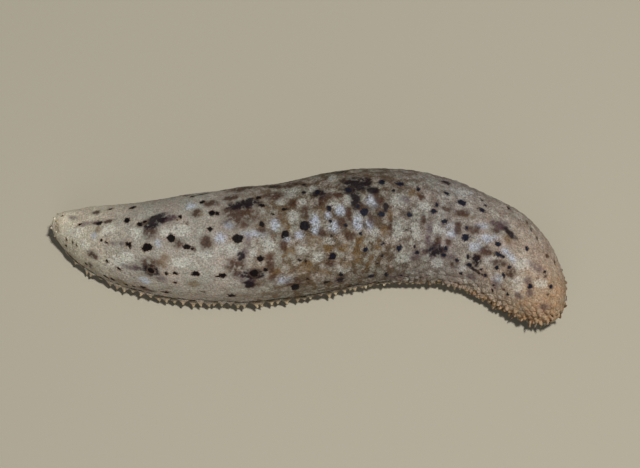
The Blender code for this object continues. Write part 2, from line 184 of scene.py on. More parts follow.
BROWN_CLOUDS = (
    (99, 222, 14, 4), (108, 221.5, 12, 3.6), (96, 212, 9, 4), (150, 232, 14, 12), (167, 219, 16, 7),
    (148, 268, 22, 15), (93, 255, 11, 8), (91, 266, 6, 5), (147, 290, 14, 4), (178, 243, 10, 9),
    (194.5, 249.5, 3.4, 4.6), (206, 243, 12, 13), (195, 213, 9, 7), (240, 214, 30, 21),
    (243, 189, 26, 7, 8), (212, 203, 14, 6), (230, 197, 14, 6), (275, 196, 20, 7), (290, 186, 22, 5, 15),
    (268, 187, 22, 3.4, 4), (236, 267, 17, 16), (270, 264, 8, 16), (252, 283, 13, 11), (274, 279, 9, 8),
    (262, 230, 8, 7), (305, 212, 9, 10), (300, 179, 22, 4, 20), (330, 172, 30, 4, 10), (322, 196, 18, 9),
    (338, 195, 9, 6), (292, 203, 8, 6), (283, 246, 7, 10), (295, 282, 18, 7), (319, 203, 8, 6),
    (330, 263, 9, 8), (322, 233, 7, 8), (342, 224, 8, 9), (349, 216, 5, 15), (365, 207, 18, 6),
    (378, 198, 7, 12, 20), (370, 218, 5, 10), (350, 236, 8, 8), (390, 225, 4, 12), (423.5, 218, 5, 10),
    (421, 197, 7, 5), (437, 242, 6, 13), (448, 242, 6, 5), (447, 208, 8, 6), (458, 228, 8, 13),
    (463, 213, 14, 6), (475, 229, 13, 8), (486, 251, 13, 9), (477, 259, 9, 12), (497, 227, 14, 10),
    (499, 263, 16, 6), (511, 273, 8, 10), (455, 264, 8, 8), (527, 222, 3, 4), (531, 229, 3, 4),
    (537, 238.5, 3, 3), (547, 256, 4, 3), (547.5, 293.8, 3, 3), (503.5, 290, 3.4, 2.6), (554, 262, 4, 3),
)
OCHRE_CLOUDS = (
    (57.5, 226, 8, 11), (97.5, 229, 8, 6), (157, 264, 17, 9), (165, 259, 11, 7), (200, 214, 6, 5),
    (120, 281, 11, 4), (195, 284, 15, 6), (247, 213, 11, 8), (260, 226, 7, 8), (285, 222, 7, 15),
    (322, 215, 6, 10), (312, 241, 14, 10), (290, 250, 12, 8), (306, 268, 12, 10), (327, 248, 9, 7),
    (344, 248, 10, 8), (360, 241, 8, 14), (357, 257, 8, 12), (370, 262, 5, 14, -20), (378, 247, 5, 11),
    (385, 232, 6, 10), (390, 216, 5, 13), (347, 265, 8, 8), (275, 272, 9, 7), (325, 272, 10, 6),
    (413, 193, 12, 9), (467, 216, 18, 5), (508, 238, 7, 11), (430, 281, 28, 4), (284, 256, 9, 8),
)
PURPLE_CLOUDS = (
    (73, 218, 12, 4, -35), (86, 224, 16, 4), (114, 243.5, 9, 4), (122, 243, 9, 4), (134, 268, 26, 5),
    (169, 218, 14, 5), (160, 279, 14, 5), (247, 247, 6, 22, -10), (250, 278, 20, 10), (340, 280, 12, 5),
    (405, 200, 9, 7), (428, 240, 6, 11), (429, 228, 5, 12), (402, 277, 24, 3.4), (415, 256, 9, 9),
    (436, 252, 24, 13), (452, 257, 10, 7), (500, 224, 15, 9), (537, 268, 17, 6, -35), (528, 281, 7, 8),
    (530, 293, 6, 8), (544, 307, 9, 8), (519, 296, 8, 6), (496, 286, 9, 8), (470, 277, 9, 8),
)
PALE_PATCHES = (
    (75, 232, 23, 10), (85, 245, 13, 8), (108, 229, 17, 9), (137, 232, 15, 10), (165, 232, 10, 8),
    (118, 262, 22, 11), (179, 230, 18, 10), (205, 254, 14, 8), (180, 262, 21, 9), (128, 258, 14, 9),
    (228.7, 250, 20, 11), (268, 245, 13, 12), (252.5, 253, 6, 8), (290, 193, 16, 8), (293, 216, 12, 10),
    (302.5, 202, 8, 6), (280, 201, 8, 6), (313, 189.4, 9, 7), (327.5, 193, 10, 6), (333, 178, 9, 6),
    (334.4, 204.4, 9, 8), (348.7, 200, 8, 9), (375, 232.5, 7, 8), (492, 261, 15, 9), (521, 263, 18, 10),
    (517, 284, 12, 14), (541, 283, 12, 8), (437, 263, 10, 9), (463, 192, 20, 8), (403, 258, 13, 10),
    (461, 268, 10, 8), (416, 232, 10, 14), (438, 230, 8, 10), (300, 250, 10, 8), (318, 257, 9, 8),
    (345, 270, 12, 8), (330, 241, 8, 7), (398, 200, 14, 12), (398, 232, 9, 14), (425, 206, 12, 8),
)
BLUE_PATCHES = (
    (94, 236, 8, 8), (158.5, 243.5, 6, 8), (190, 206, 11, 6), (144, 281, 11, 6), (220.4, 236.9, 11, 11),
    (228.7, 225, 11, 8), (253, 233.5, 22, 7), (275.6, 225, 9, 11), (286, 239.5, 8, 6),
    (299.6, 235.6, 9, 9.4), (314.8, 220, 9.4, 10), (315, 229.6, 9, 10), (327, 215.6, 7, 7),
    (334.4, 226.9, 11, 11), (340.6, 210.6, 10, 9.4), (371, 202, 13, 12), (357.5, 222.5, 8.6, 17),
    (369.4, 224, 7, 13), (283, 280, 18, 8), (481, 226, 14, 7), (452, 231, 11, 13), (488, 239, 20, 9),
    (475, 247, 14, 9), (508, 254, 18, 7, -45), (497, 279, 12, 9),
)
PHOTO_FOLD = ((425, 252), (431, 249), (435, 246), (438, 246))
PHOTO_FOLD_RIDGE = ((427, 249), (431, 241), (436, 234), (440, 235))


# Body form


def through_stations(values, along):
    """Smooth curve through one value of each station: cubics whose slopes follow the neighbours."""
    places = STATIONS[:, 0]
    slopes = np.gradient(values, places)
    first = np.clip(np.searchsorted(places, along, side="right") - 1, 0, len(places) - 2)
    step = places[first + 1] - places[first]
    t = (along - places[first]) / step
    start = (1 + 2 * t) * (1 - t) ** 2 * values[first] + t * (1 - t) ** 2 * step * slopes[first]
    end = t * t * (3 - 2 * t) * values[first + 1] + t * t * (t - 1) * step * slopes[first + 1]
    return start + end


def spine_line():
    """Points of the spine seen from above, found by walking along the heading."""
    places = np.linspace(0.0, LENGTH, 661)
    heading = np.radians(through_stations(STATIONS[:, 3], places))
    steps = np.diff(places)
    east = np.cos(heading)
    north = np.sin(heading)
    x = np.concatenate(([0.0], np.cumsum(steps * (east[1:] + east[:-1]) / 2)))
    y = np.concatenate(([0.0], np.cumsum(steps * (north[1:] + north[:-1]) / 2)))
    return places, x + TAIL_TIP_AT[0], y + TAIL_TIP_AT[1], heading


SPINE = spine_line()


def half_width_at(along):
    """Half width. Its square runs smoothly through the stations, which rounds both ends."""
    return np.sqrt(np.maximum(through_stations(STATIONS[:, 1] ** 2, along), 0.0))


def straight_form(along, around):
    """Points on the smooth skin of a body whose spine is straight: along, to the left, and up.

    The section is a squared-off circle, squeezed to the half width and to the heights above and below
    the widest line. `around` is the angle before the squeeze.
    """
    half_width = half_width_at(along)
    side = np.cos(np.radians(around))
    up = np.sin(np.radians(around))
    reach = np.where(up > 0, 1 - LOW_SHARE, LOW_SHARE)
    power = np.where(up > 0, BACK_SQUARENESS, SOLE_SQUARENESS)
    radius = half_width * (np.abs(side) ** power + np.abs(up) ** power) ** (-1 / power)
    return np.stack((along + 0 * radius, radius * side, radius * up * 2 * HEIGHT_TO_WIDTH * reach), axis=-1)


def skin_form(along, around):
    """Points on the smooth skin, from arrays of places."""
    along = np.clip(along, 0.0, LENGTH)
    straight = straight_form(along, around)
    places, spine_x, spine_y, headings = SPINE
    heading = np.interp(along, places, headings)
    height = 2 * half_width_at(along) * HEIGHT_TO_WIDTH
    middle = through_stations(STATIONS[:, 2], along) + height * LOW_SHARE
    x = np.interp(along, places, spine_x) - np.sin(heading) * straight[..., 1]
    y = np.interp(along, places, spine_y) + np.cos(heading) * straight[..., 1]
    return np.stack((x, y, middle + straight[..., 2]), axis=-1)


def unit(vectors):
    """The same directions, of length 1."""
    return vectors / np.maximum(np.linalg.norm(vectors, axis=-1, keepdims=True), 1e-9)


def outward(along, around):
    """Directions straight out of the smooth skin."""
    lengthwise = skin_form(along + 0.5, around) - skin_form(along - 0.5, around)
    crosswise = skin_form(along, around + 2.0) - skin_form(along, around - 2.0)
    return unit(np.cross(crosswise, lengthwise))


def forward(along, around):
    """Directions over the smooth skin toward the head."""
    return unit(skin_form(along + 0.5, around) - skin_form(along - 0.5, around))


def walked(points):
    """Length walked along a line of points, up to each of them."""
    return np.concatenate(([0.0], np.cumsum(np.linalg.norm(np.diff(points, axis=0), axis=1))))


FINE_ALONG = LENGTH * (1 - np.cos(np.linspace(0.0, math.pi, 4001))) / 2
PROFILE = walked(np.stack((FINE_ALONG, half_width_at(FINE_ALONG)), axis=1))
FINE_AROUND = np.linspace(-90.0, 270.0, 1441)
GIRTH = walked(skin_form(np.full(len(FINE_AROUND), GIRTH_AT), FINE_AROUND))


def unwrap(along, around):
    """Place on the flat map of the skin, which is cut open along the sole, for angles from -90 to 270."""
    across = np.interp(around, FINE_AROUND, GIRTH) / PROFILE[-1]
    return np.stack((np.interp(along, FINE_ALONG, PROFILE) / PROFILE[-1], across), axis=-1)


def from_sole(around):
    """The same angles, from -90 to 270."""
    return (around + 90.0) % 360.0 - 90.0


def angle_from_back(around):
    """Angles from the middle of the back, down either side: 0 to 180."""
    return np.abs(from_sole(around) - 90.0)


# Shapes of numbers


def fade(value, low, high):
    """Smooth step from 0 at low to 1 at high."""
    t = np.clip((value - low) / (high - low), 0.0, 1.0)
    return t * t * (3 - 2 * t)


def coming_in(along, from_back, zone):
    """How far a zone of the body has come in: 0 before it, and 1 past its far place and its far angle."""
    places, angles = zone
    return fade(along, *places) * fade(from_back, *angles)


def noise(points, size, seed):
    """Smooth noise from -0.5 to 0.5 whose lumps are about `size` millimetres across."""
    table = np.random.default_rng(seed).random(4096) - 0.5
    cells = points / size
    base = np.floor(cells).astype(np.int64)
    t = cells - base
    t = t * t * (3 - 2 * t)
    total = np.zeros(len(points))
    for corner in itertools.product((0, 1), repeat=3):
        key = (base + np.array(corner)) @ np.array((73856093, 19349663, 83492791))
        total += table[key % len(table)] * np.prod(np.where(corner, t, 1 - t), axis=1)
    return total


def folds(points, spacing, length, seed):
    """Narrow ridges that run round a straight body: 1 on a crest, falling to 0 in the furrows."""
    stretched = noise(points, np.array((spacing, length, length)), seed)
    return 1 - np.clip(np.abs(stretched) * 5, 0.0, 1.0)


def lowness(around):
    """How far down the flank a place is: 0 over the back, 1 at the lower edge and on the sole."""
    return fade(angle_from_back(around), 35.0, 105.0)


# What the camera sees


def photo_place(points):
    """Columns and rows at which the camera sees points, in the photograph's pixels."""
    seen = points - CAMERA_AT
    scale = CAMERA_DISTANCE / (seen @ VIEW) / MM_PER_PIXEL
    columns = PHOTO_WIDTH / 2 + (points - CAMERA_AIM) @ VIEW_RIGHT * scale
    rows = PHOTO_HEIGHT / 2 - (points - CAMERA_AIM) @ VIEW_UP * scale
    return columns, rows


def seen_places():
    """A grid of places that face the camera, with the columns and rows at which it sees them."""
    along, around = np.meshgrid(np.linspace(0.3, LENGTH - 0.3, 660), np.linspace(-30.0, 220.0, 360))
    along = along.ravel()
    around = around.ravel()
    facing = -outward(along, around) @ VIEW
    shown = facing > 0.08
    columns, rows = photo_place(skin_form(along[shown], around[shown]))
    return along[shown], around[shown], columns, rows


SEEN = seen_places()


def place_seen_at(column, row):
    """The place on the body that the camera sees at a column and row of the photograph."""
    along, around, columns, rows = SEEN
    nearest = np.argmin((columns - column) ** 2 + (rows - row) ** 2)
    return along[nearest], around[nearest]


# Marks on the skin


class Mark(NamedTuple):
    """An oval on the skin: its middle, its axes to the right, up and out of the skin, and half its size."""
    middle: np.ndarray
    axes: np.ndarray
    half_size: np.ndarray

    def share(self, points):
        """How far points lie from the middle: 0 there and 1 on the edge."""
        return np.linalg.norm((points - self.middle) @ self.axes.T / self.half_size, axis=1)

    def distance(self, points):
        """How far points lie outside the edge, in millimetres, and below 0 inside it."""
        return (self.share(points) - 1) * self.half_size[:2].min()


# Least foreshortening that marks are stretched to suit, and how deep they reach into the skin
LEAST_FORESHORTENING = 0.5
MARK_DEPTH = 5.0


def mark_in_photo(column, row, width, height, tilt=0.0):
    """Mark that the camera sees at a place in the photograph. On a steep flank it is stretched to suit."""
    along, around = place_seen_at(column, row)
    middle = skin_form(along, around)
    out = outward(along, around)
    right = unit(VIEW_RIGHT - out * (out @ VIEW_RIGHT))
    up = np.cross(out, right)
    foreshortening = max(abs(up @ VIEW_UP), LEAST_FORESHORTENING)
    lean = math.radians(tilt)
    leaning = right * math.cos(lean) + up * math.sin(lean)
    axes = np.array((leaning, np.cross(out, leaning), out))
    half_width = width / 2 * MM_PER_PIXEL
    half_height = height / 2 * MM_PER_PIXEL / foreshortening
    return Mark(middle, axes, np.array((half_width, half_height, MARK_DEPTH)))


def mark_on_body(along, around, width, height):
    """Mark of a size in millimetres, its width along the body."""
    out = outward(along, around)
    right = forward(along, around)
    axes = np.array((right, np.cross(out, right), out))
    return Mark(skin_form(along, around), axes, np.array((width / 2, height / 2, MARK_DEPTH)))


def marks_in_photo(rows):
    """Marks of one list read off the photograph."""
    return [mark_in_photo(*row) for row in rows]


def hidden_marks(seed, count, angles, widths):
    """Scattered marks over a band of the body that the camera doesn't see, clear of both tips."""
    draw = np.random.default_rng(seed)
    first = 4.0
    last = LENGTH - 5.0
    marks = []
    for number in range(count):
        along = first + (last - first) * (number + draw.random()) / count
        width = draw.uniform(*widths)
        marks.append(mark_on_body(along, draw.uniform(*angles), width, width * draw.uniform(0.6, 1.0)))
    return marks


def cloud_field(points, marks):
    """Strength of a kind of cloud: 1 in the middle of its marks, falling softly outside them."""
    strength = np.zeros(len(points))
    for mark in marks:
        strength = np.maximum(strength, np.exp(-0.55 * mark.share(points) ** 2))
    return strength


# Farthest distance from a spot's edge that the paint is told
SPOT_REACH = 2.0


def spot_field(points, marks):
    """Distance in millimetres to the edge of the nearest black spot, below 0 inside one."""
    nearest = np.full(len(points), SPOT_REACH)
    for mark in marks:
        nearest = np.minimum(nearest, mark.distance(points))
    return np.maximum(nearest, -SPOT_REACH)


# Marks that the photograph shows, and others from fixed seeds on the hidden flank and the sole
HIDDEN_FLANK = (-25.0, 20.0)
SPOTS = (
    marks_in_photo(BLACK_SPOTS)
    + hidden_marks(31, 46, (-32.0, 20.0), (0.9, 2.6))
    + hidden_marks(32, 40, (212.0, 328.0), (0.5, 1.1))
)
CLOUDS = {
    "dark": marks_in_photo(DARK_CLOUDS) + hidden_marks(33, 5, (-20.0, 20.0), (3.0, 6.0)),
    "brown": marks_in_photo(BROWN_CLOUDS) + hidden_marks(34, 12, HIDDEN_FLANK, (3.0, 9.0)),
    "ochre": marks_in_photo(OCHRE_CLOUDS) + hidden_marks(35, 12, HIDDEN_FLANK, (2.0, 5.0)),
    "purple": marks_in_photo(PURPLE_CLOUDS) + hidden_marks(36, 6, HIDDEN_FLANK, (2.0, 4.0)),
    "pale": marks_in_photo(PALE_PATCHES) + hidden_marks(37, 24, HIDDEN_FLANK, (2.0, 5.0)),
    "blue": marks_in_photo(BLUE_PATCHES) + hidden_marks(38, 12, HIDDEN_FLANK, (2.0, 4.0)),
}


# Cobbles and relief


def cobble_places():
    """Middles of the cobbles: rings round the fore body, closer together toward the head."""
    draw = np.random.default_rng(7)
    start, end = np.interp((COBBLES_FROM, LENGTH), FINE_ALONG, PROFILE)
    tip_gap = 0.4
    found = []
    while start < end - tip_gap:
        along = np.interp(start, PROFILE, FINE_ALONG)
        spacing = np.interp(along, *COBBLE_SPACING)
        girth = half_width_at(along) * GIRTH[-1] / half_width_at(GIRTH_AT)
        count = max(3, round(girth / spacing))
        turns = (np.arange(count) + draw.random() + draw.uniform(-0.3, 0.3, count)) / count
        steps = start + draw.uniform(-RING_SCATTER, RING_SCATTER, count) * spacing
        places = np.interp(steps, PROFILE, FINE_ALONG)
        found.append(np.stack((places, turns * 360.0, np.full(count, spacing))))
        start += spacing * RING_CLOSENESS
    along, around, spacing = np.concatenate(found, axis=1)
    return along, from_sole(around), spacing


COBBLES = cobble_places()


def cobble_tree():
    """Search tree of the cobbles' middles on the skin."""
    middles = skin_form(COBBLES[0], COBBLES[1])
    tree = KDTree(len(middles))
    for number, middle in enumerate(middles):
        tree.insert(middle, number)
    tree.balance()
    return tree


COBBLE_TREE = cobble_tree()


def dome_field(points, along):
    """Height of the cobbles: 1 on top of one, 0 in the furrows, and 0.5 on the plain hind body."""
    domes = np.full(len(points), 0.5)
    share = fade(along, COBBLES_FROM + 3, COBBLES_FROM + 26)
    for number in np.flatnonzero(share > 0):
        near, far = COBBLE_TREE.find_n(points[number], 2)
        spacing = COBBLES[2][near[1]]
        edge = min(1.0, (far[2] - near[2]) / spacing / 0.6)
        round_top = max(0.0, 1 - (near[2] / spacing) ** 2)
        domes[number] += share[number] * (edge * (2 - edge) * (0.35 + 0.65 * round_top) - 0.5)
    return domes


def line_distance(points, line):
    """Distance from points to a line through a few others."""
    nearest = np.full(len(points), 1e9)
    for start, end in zip(line, line[1:]):
        step = end - start
        share = np.clip((points - start) @ step / (step @ step), 0.0, 1.0)
        nearest = np.minimum(nearest, np.linalg.norm(points - start - share[:, None] * step, axis=1))
    return nearest


def line_seen(places):
    """Points on the skin that the camera sees at places in the photograph."""
    return np.array([skin_form(*place_seen_at(*place)) for place in places])


FOLD = line_seen(PHOTO_FOLD)
FOLD_RIDGE = line_seen(PHOTO_FOLD_RIDGE)
MOUTH = skin_form(MOUTH_AT, 270.0)
TAIL_TIP = skin_form(0.0, 0.0)

# Lumps of the skin: height, size across and seed
LUMPS = ((0.5, 13.0, 1), (0.36, 4.6, 2), (0.14, 1.5, 3))


def relief(points, along, around, domes):
    """How far the skin stands out of its smooth form, in millimetres."""
    straight = straight_form(along, around)
    height = sum(strength * noise(points, size, seed) for strength, size, seed in LUMPS)
    sides = lowness(around)
    wrinkled = fade(along, 86.0, 108.0) * (1 - fade(along, 132.0, 150.0)) * (0.35 + 0.65 * sides)
    height += 0.22 * wrinkled * (folds(straight, 1.5, 7.0, 4) - 0.5)
    height += 0.08 * (1 - wrinkled) * (folds(straight, 1.8, 9.0, 5) - 0.5)
    lumps = 0.3 * fade(along, 90.0, 114.0)
    height += lumps * (domes - 0.5) * (1 - 0.45 * wrinkled)
    height += 0.3 * (1 - fade(line_distance(points, FOLD_RIDGE), 0.2, 1.5))
    height -= 0.55 * (1 - fade(line_distance(points, FOLD), 0.1, 0.9))
    from_mouth = np.linalg.norm(points - MOUTH, axis=1)
    from_tail = np.linalg.norm(points - TAIL_TIP, axis=1)
    height *= fade(from_mouth, DISC_RADIUS, DISC_RADIUS + 2.5)
    height -= (DISC_DEPTH + 0.2) * (1 - fade(from_mouth, DISC_RADIUS + 0.1, DISC_RADIUS + 0.9))
    return height - ANUS_DEPTH * (1 - fade(from_tail, 0.3, ANUS_REACH))


def skin_fields(points, along, around, domes):
    """All numbers that the paint reads, one list of them for each place."""
    straight = straight_form(along, around)
    fields = {kind: cloud_field(points, marks) for kind, marks in CLOUDS.items()}
    fields["spot"] = spot_field(points, SPOTS)
    fields["dome"] = domes
    fields["along"] = straight[:, 0]
    fields["side"] = straight[:, 1]
    fields["level"] = straight[:, 2]
    from_back = angle_from_back(around)
    fields["under"] = fade(from_back, 120.0, 135.0)
    # Painted shade: a dark band on the skin just under each flank's lower edge, where the body's own shadow
    # falls
    fields["under_edge_shade"] = fade(from_back, 104.0, 111.0)
    fields["flank"] = fade(from_back, 55.0, 95.0)
    snout = 0.75 * fade(along, 151.0, 162.5)
    fields["ember"] = np.maximum(snout, coming_in(along, from_back, GLOWING_RIM))
    return fields


# Meshes


# Radius of a growth's patch on the flat map
PATCH_RADIUS = 0.0015


class Shape:
    """One mesh in the making: points in millimetres, faces, corners on the flat map, and paint fields."""

    def __init__(self):
        self.points = []
        self.faces = []
        self.corners = []
        self.fields = []
        self.count = 0

    def add(self, points, faces, corners, fields):
        """Adds points, faces over them, one pair of map numbers a corner, and one number a point."""
        self.points.append(points)
        for face_list in faces:
            self.faces += (face_list + self.count).tolist()
        self.corners += [part.reshape(-1, 2) for part in corners]
        self.fields.append(fields)
        self.count += len(points)

    def add_stacks(self, rings, places, fields):
        """Adds tubes, each a stack of rings closed by its last one, with a small round patch on the map."""
        count, levels, sides = rings.shape[:3]
        side = np.arange(sides)
        beside = (side + 1) % sides
        level = sides * np.arange(levels - 1)[:, None]
        above = level + sides
        first = levels * sides * np.arange(count)[:, None]
        quads = np.stack((level + side, level + beside, above + beside, above + side), axis=-1)
        quads = (quads.reshape(1, -1) + first).reshape(-1, 4)
        caps = first + (levels - 1) * sides + side
        turns = 2 * math.pi * side / sides
        inward = PATCH_RADIUS * (1 - np.arange(levels) / levels)
        patch = np.stack((np.cos(turns), np.sin(turns)), axis=-1) * inward[:, None, None]
        flat = (places[:, None, None, :] + patch).reshape(-1, 2)
        self.add(rings.reshape(-1, 3), (quads, caps), (flat[quads], flat[caps]), fields)

    def object(self, name, material):
        mesh = bpy.data.meshes.new(name)
        mesh.from_pydata((np.concatenate(self.points) * MM).tolist(), [], self.faces)
        mesh.polygons.foreach_set("use_smooth", np.ones(len(mesh.polygons), dtype=bool))
        flat_map = mesh.uv_layers.new(name="OFBake")
        flat_map.data.foreach_set("uv", np.concatenate(self.corners).astype(np.float32).ravel())
        for field in self.fields[0]:
            values = np.concatenate([part[field] for part in self.fields]).astype(np.float32)
            mesh.attributes.new(field, "FLOAT", "POINT").data.foreach_set("value", values)
        mesh.materials.append(material)
        made = bpy.data.objects.new(name, mesh)
        bpy.context.scene.collection.objects.link(made)
        return made


def skin_rows():
    """Places of the rows along the body, evenly apart over the skin."""
    return np.interp((np.arange(SKIN_ROWS) + 0.5) / SKIN_ROWS * PROFILE[-1], PROFILE, FINE_ALONG)


def skin_columns():
    """Angles of the columns from -90 to 270, evenly apart over the skin but wider apart on the sole."""
    sole = np.abs(FINE_AROUND[1:] - 90.0) > SOLE_FROM - 90.0
    steps = np.diff(GIRTH) / np.where(sole, SOLE_COARSENESS, 1.0)
    reached = np.concatenate(([0.0], np.cumsum(steps)))
    return np.interp(np.linspace(0.0, reached[-1], SKIN_COLUMNS + 1), reached, FINE_AROUND)


def skin_faces():
    """Faces of the skin's grid, as point numbers: quads between rows, and a fan at each end of the body."""
    column = np.arange(SKIN_COLUMNS)
    beside = (column + 1) % SKIN_COLUMNS
    start = 1 + SKIN_COLUMNS * np.arange(SKIN_ROWS - 1)[:, None]
    across = start + SKIN_COLUMNS
    quads = np.stack((start + column, start + beside, across + beside, across + column), axis=-1)
    final = 1 + (SKIN_ROWS - 1) * SKIN_COLUMNS
    tail_fan = np.stack((0 * column, 1 + beside, 1 + column), axis=-1)
    head_fan = np.stack((final + column, final + beside, 0 * column + final + SKIN_COLUMNS), axis=-1)
    return quads.reshape(-1, 4), tail_fan, head_fan


def skin_map(rows, angles):
    """Places of the corners of those faces on the flat map."""
    low = np.tile(angles[:-1], SKIN_ROWS - 1)
    high = np.tile(angles[1:], SKIN_ROWS - 1)
    near = np.repeat(rows[:-1], SKIN_COLUMNS)
    far = np.repeat(rows[1:], SKIN_COLUMNS)
    corners = (unwrap(near, low), unwrap(near, high), unwrap(far, high), unwrap(far, low))
    quad_map = np.stack(corners, axis=1)
    low, high = angles[:-1], angles[1:]
    middle = (low + high) / 2
    first = 0 * low + rows[0]
    last = 0 * low + rows[-1]
    tail_map = np.stack((unwrap(0 * low, middle), unwrap(first, high), unwrap(first, low)), axis=1)
    head_map = np.stack((unwrap(last, low), unwrap(last, high), unwrap(0 * low + LENGTH, middle)), axis=1)
    return quad_map, tail_map, head_map


def skin_object():
    """The whole skin as one closed mesh: a grid with a point at each end of the body."""
    angles = skin_columns()
    rows = skin_rows()
    along = np.concatenate(([0.0], np.repeat(rows, SKIN_COLUMNS), [LENGTH]))
    around = np.concatenate(([0.0], np.tile(angles[:-1], SKIN_ROWS), [0.0]))
    form = skin_form(along, around)
    out = outward(along, around)
    tail_heading, head_heading = SPINE[3][[0, -1]]
    out[0] = (-math.cos(tail_heading), -math.sin(tail_heading), 0.0)
    out[-1] = (math.cos(head_heading), math.sin(head_heading), 0.0)
    domes = dome_field(form, along)
    points = form + out * relief(form, along, around, domes)[:, None]
    fields = skin_fields(form, along, around, domes)
    fields["tip"] = np.zeros(len(points))
    shape = Shape()
    shape.add(points, skin_faces(), skin_map(rows, angles), fields)
    return shape.object("skin", SKIN_PAINT)


# Growths on the skin


class Growths(NamedTuple):
    """Growths of one kind: places on the body, sizes in millimetres, and how far each tip bends over."""
    along: np.ndarray
    around: np.ndarray
    length: np.ndarray
    width: np.ndarray
    thickness: np.ndarray
    bend: np.ndarray


CLEAR_OF_FLOOR = 0.01


def round_outline(*rows):
    """Outline whose thickness is the same as its width."""
    return tuple((height, width, width) for height, width in rows)


# Outlines of growths from the sunk root to the tip: share of the length, of the width, of the thickness
FINGER = round_outline((-0.35, 1.1), (0.0, 1.0), (0.25, 0.8), (0.5, 0.6), (0.75, 0.47), (0.92, 0.34),
                       (1.0, 0.14))
WEBBED_FOOT = ((-0.25, 1.2, 1.0), (0.0, 1.0, 0.8), (0.2, 0.84, 0.66), (0.38, 0.6, 0.5), (0.52, 0.38, 0.42),
               (0.68, 0.25, 0.36), (0.88, 0.2, 0.32), (1.0, 0.1, 0.16))
SUCKER_FOOT = round_outline((-0.25, 1.1), (0.12, 0.72), (0.45, 0.6), (0.8, 0.62), (0.88, 0.98), (0.96, 1.0),
                            (1.0, 0.9))


def rings_of(roots, out, lengthwise, sizes, bend, outline, sides):
    """Rings of points of many growths, and the share of its height at which each point lies."""
    crosswise = np.cross(out, lengthwise)
    length, width, thickness = sizes
    turns = 2 * math.pi * np.arange(sides) / sides
    rings = []
    for height, wide, thick in outline:
        middle = roots + out * (length * height)[:, None] + bend * max(height, 0.0) ** 2
        across = lengthwise[:, None] * (width * wide / 2)[:, None, None] * np.cos(turns)[:, None]
        over = crosswise[:, None] * (thickness * thick / 2)[:, None, None] * np.sin(turns)[:, None]
        rings.append(middle[:, None] + across + over)
    heights = np.array([max(row[0], 0.0) for row in outline])
    return np.stack(rings, axis=1), np.tile(np.repeat(heights, sides), len(roots))


def growth_object(name, growths, outline, sides, paleness, droop=0.0, standing=False):
    """Growths of one kind as one mesh: how pale their tips are, how they droop, and whether they stand."""
    along, around = growths.along, growths.around
    form = skin_form(along, around)
    domes = dome_field(form, along)
    out = outward(along, around)
    roots = form + out * relief(form, along, around, domes)[:, None]
    if standing:
        out = np.tile((0.0, 0.0, -1.0), (len(roots), 1))
        length = roots[:, 2] - CLEAR_OF_FLOOR
    else:
        out = unit(out + np.array((0.0, 0.0, -droop)))
        length = growths.length
    lengthwise = forward(along, around)
    lengthwise = unit(lengthwise - out * np.sum(lengthwise * out, axis=1, keepdims=True))
    sizes = (length, growths.width, growths.thickness)
    rings, heights = rings_of(roots, out, lengthwise, sizes, growths.bend, outline, sides)
    each = rings.shape[1] * sides
    fields = skin_fields(form, along, around, domes)
    fields = {field: np.repeat(values, each) for field, values in fields.items()}
    offset = rings.reshape(-1, 3) - np.repeat(form, each, axis=0)
    heading = np.interp(fields["along"], SPINE[0], SPINE[3])
    fields["along"] += offset[:, 0] * np.cos(heading) + offset[:, 1] * np.sin(heading)
    fields["side"] += offset[:, 1] * np.cos(heading) - offset[:, 0] * np.sin(heading)
    fields["level"] += offset[:, 2]
    fields["tip"] = heights * paleness
    shape = Shape()
    shape.add_stacks(rings, unwrap(along, from_sole(around)), fields)
    return shape.object(name, SKIN_PAINT)


def bends(draw, count, sideways, sag):
    """Random bends of growths' tips, in millimetres, which also sag toward the ground."""
    return np.stack((draw.normal(0, sideways, count), draw.normal(0, sideways, count),
                     draw.normal(-sag, sideways, count)), axis=1)


def clear_of_mouth(along, around, margin):
    """Whether places keep a margin in millimetres from the mouth disc."""
    return np.linalg.norm(skin_form(along, around) - MOUTH, axis=1) > DISC_RADIUS + margin


def papillae():
    """Blunt fingers on the cobbles of the head's rim and the lower fore flanks, longest near the ground."""
    along, around, spacing = COBBLES
    draw = np.random.default_rng(41)
    from_back = angle_from_back(around)
    snout = 0.7 * fade(along, 160.0, 164.3)
    head = np.maximum(snout, coming_in(along, from_back, HEAD_RIM))
    flank = 0.55 * coming_in(along, from_back, FORE_FLANK)
    drawn_in = 0.45 + 0.55 * fade(around, 0.0, 90.0)
    pointed = np.maximum(head, flank) * drawn_in * draw.uniform(0.5, 1.15, len(along))
    bare_sole = (from_back > 118.0) & (along < 151.0)
    kept = (pointed > 0.1) & clear_of_mouth(along, around, 1.2) & ~bare_sole
    along, around, spacing, pointed = along[kept], around[kept], spacing[kept], pointed[kept]
    count = len(along)
    width = spacing * draw.uniform(0.85, 1.15, count) * (1.2 - 0.65 * pointed)
    length = (0.05 + 1.0 * pointed) * np.minimum(spacing, 1.8) * draw.uniform(0.8, 1.1, count)
    return Growths(along, around, length, width, width, bends(draw, count, 0.2, 0.1))


def fringe():
    """One row of webbed feet along both lower edges, nearly three times as wide as they are thick."""
    draw = np.random.default_rng(43)
    places = np.arange(FRINGE_FROM, FRINGE_TO, FRINGE_SPACING)
    shift, turn = FRINGE_SCATTER
    along = []
    around = []
    for side in (1, -1):
        kept = places[draw.random(len(places)) < FRINGE_SHARE]
        along.append(kept + draw.uniform(-shift, shift, len(kept)))
        around.append(90.0 + side * (FRINGE_ANGLE - 90.0) + draw.uniform(-turn, turn, len(kept)))
    along = np.concatenate(along)
    around = np.concatenate(around)
    count = len(along)
    length = draw.uniform(*FRINGE_LENGTHS, count) * np.interp(along, *FRINGE_REACH)
    width = FRINGE_SPACING * draw.uniform(1.3, 1.8, count)
    return Growths(along, around, length, width, width * 0.36, bends(draw, count, 0.25, 0.2))


